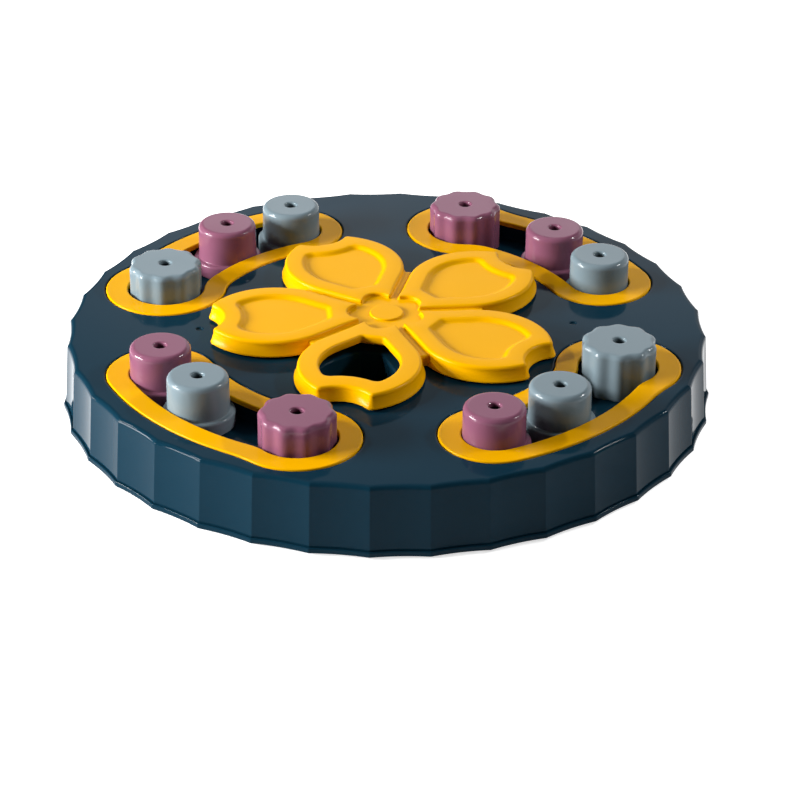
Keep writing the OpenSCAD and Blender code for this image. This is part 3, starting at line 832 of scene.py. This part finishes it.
# ---------------------------------------------------------------- floor, world and lights

def chained(tree, operation, outputs):
    """One output that adds or multiplies several."""
    total = outputs[0]
    for output in outputs[1:]:
        node = tree.nodes.new("ShaderNodeMath")
        node.operation = operation
        node.use_clamp = operation == "ADD"
        tree.links.new(total, node.inputs[0])
        tree.links.new(output, node.inputs[1])
        total = node.outputs[0]
    return total


def make_floor():
    """A white floor that takes the board's shadow."""
    mesh = bpy.data.meshes.new("floor")
    reach, paint, glow_strength = 30.0, 0.8, 0.7
    plan = ((-1, -1), (1, -1), (1, 1), (-1, 1))
    mesh.from_pydata([(reach * x, reach * y, 0) for x, y in plan], [], [(0, 1, 2, 3)])
    floor = bpy.data.objects.new("floor", mesh)
    bpy.context.scene.collection.objects.link(floor)
    material = bpy.data.materials.new("floor_white")
    material.use_nodes = True
    nodes, links = material.node_tree.nodes, material.node_tree.links
    shader = nodes["Principled BSDF"]
    shader.inputs["Base Color"].default_value = (paint, paint, paint, 1)
    shader.inputs["Roughness"].default_value = 0.9
    shader.inputs["Specular IOR Level"].default_value = 0
    path = nodes.new("ShaderNodeLightPath")
    rays = [path.outputs[ray] for ray in ("Is Camera Ray", "Is Glossy Ray", "Is Transmission Ray")]
    glow = nodes.new("ShaderNodeMath")
    glow.operation = "MULTIPLY"
    glow.inputs[1].default_value = glow_strength
    links.new(chained(material.node_tree, "ADD", rays), glow.inputs[0])
    shader.inputs["Emission Color"].default_value = (1, 1, 1, 1)
    links.new(glow.outputs[0], shader.inputs["Emission Strength"])
    mesh.materials.append(material)


# The studio's brightness by height, from straight down (0) to straight up (1)
SKY = ((0.0, 0.4), (0.36, 0.6), (0.43, 0.9), (0.48, 0.42), (0.56, 0.2), (0.7, 0.06), (1.0, 0.05))
# How it rises from left to right, and from front to back: range of the direction, range of the factor
FADES = (("X", -0.13, -0.04, 0.22, 2.0), ("Y", -0.3, 0.5, 0.2, 1))


def make_world():
    """A plain studio, brighter at the back and on the right, which the glossy deck reflects."""
    world = bpy.data.worlds.new("studio")
    bpy.context.scene.world = world
    world.use_nodes = True
    nodes, links = world.node_tree.nodes, world.node_tree.links
    background = nodes["Background"]
    split = nodes.new("ShaderNodeSeparateXYZ")
    links.new(nodes.new("ShaderNodeTexCoord").outputs["Generated"], split.inputs[0])
    ramp = nodes.new("ShaderNodeValToRGB")
    while len(ramp.color_ramp.elements) < len(SKY):
        ramp.color_ramp.elements.new(0.5)
    for element, (place, value) in zip(ramp.color_ramp.elements, SKY):
        element.position = place
        element.color = (value, value, value * 1.02, 1)
    links.new(split.outputs["Z"], ramp.inputs["Fac"])
    links.new(ramp.outputs["Color"], background.inputs["Color"])
    factors = []
    for axis, low, high, least, most in FADES:
        fade = nodes.new("ShaderNodeMapRange")
        fade.inputs["From Min"].default_value, fade.inputs["From Max"].default_value = low, high
        fade.inputs["To Min"].default_value, fade.inputs["To Max"].default_value = least, most
        links.new(split.outputs[axis], fade.inputs["Value"])
        factors.append(fade.outputs["Result"])
    links.new(chained(world.node_tree, "MULTIPLY", factors), background.inputs["Strength"])


def make_light(name, azimuth, elevation, distance, size, power):
    """A soft rectangular light that looks at the middle of the board."""
    data = bpy.data.lights.new(name, "AREA")
    data.shape = "RECTANGLE"
    data.size, data.size_y = size
    data.energy = power
    light = bpy.data.objects.new(name, data)
    a, e = math.radians(azimuth), math.radians(elevation)
    away = Vector((math.cos(a) * math.cos(e), math.sin(a) * math.cos(e), math.sin(e)))
    light.location = away * distance + Vector((0, 0, 0.03))
    light.rotation_mode = "QUATERNION"
    light.rotation_quaternion = away.to_track_quat("Z", "Y")
    bpy.context.scene.collection.objects.link(light)


def make_camera():
    """The photograph's view: a lens about a metre away that looks down at 29 degrees."""
    data = bpy.data.cameras.new("photo_view")
    data.sensor_width = 36
    data.lens = 132.95
    data.shift_x, data.shift_y = 0.0175, -0.0125
    data.clip_start, data.clip_end = 0.05, 60
    camera = bpy.data.objects.new("photo_view", data)
    el, roll, spin = 0.501287, 0.003754, math.radians(-2.35)
    right = Vector((1, 0, 0))
    down = Vector((0, -math.sin(el), -math.cos(el)))
    ahead = Vector((0, math.cos(el), -math.sin(el)))
    right, down = (
        math.cos(roll) * right - math.sin(roll) * down,
        math.sin(roll) * right + math.cos(roll) * down,
    )
    shift = Vector((0.16909, -0.61058, 1150.644))
    eye = -(right * shift.x + down * shift.y + ahead * shift.z) + Vector((0, 0, 1))
    basis = Matrix((right, -down, -ahead)).transposed()
    turn = Matrix.Rotation(spin, 3, "Z")
    camera.matrix_world = Matrix.Translation(turn @ eye * MM) @ (turn @ basis).to_4x4()
    bpy.context.scene.collection.objects.link(camera)
    bpy.context.scene.camera = camera


make_floor()
make_world()
make_camera()
# Azimuth and elevation in degrees, distance and size in metres, power in watts
make_light("key_left", 186, 15, 1.1, (0.6, 0.28), 33)
make_light("edge_left", 172, 38, 1.1, (0.2, 0.05), 5)
make_light("strip_right", 4, 38, 1.1, (0.3, 0.035), 6)
make_light("top_soft", 110, 70, 1.3, (0.9, 0.7), 1.5)

bpy.context.scene.view_settings.view_transform = "Standard"
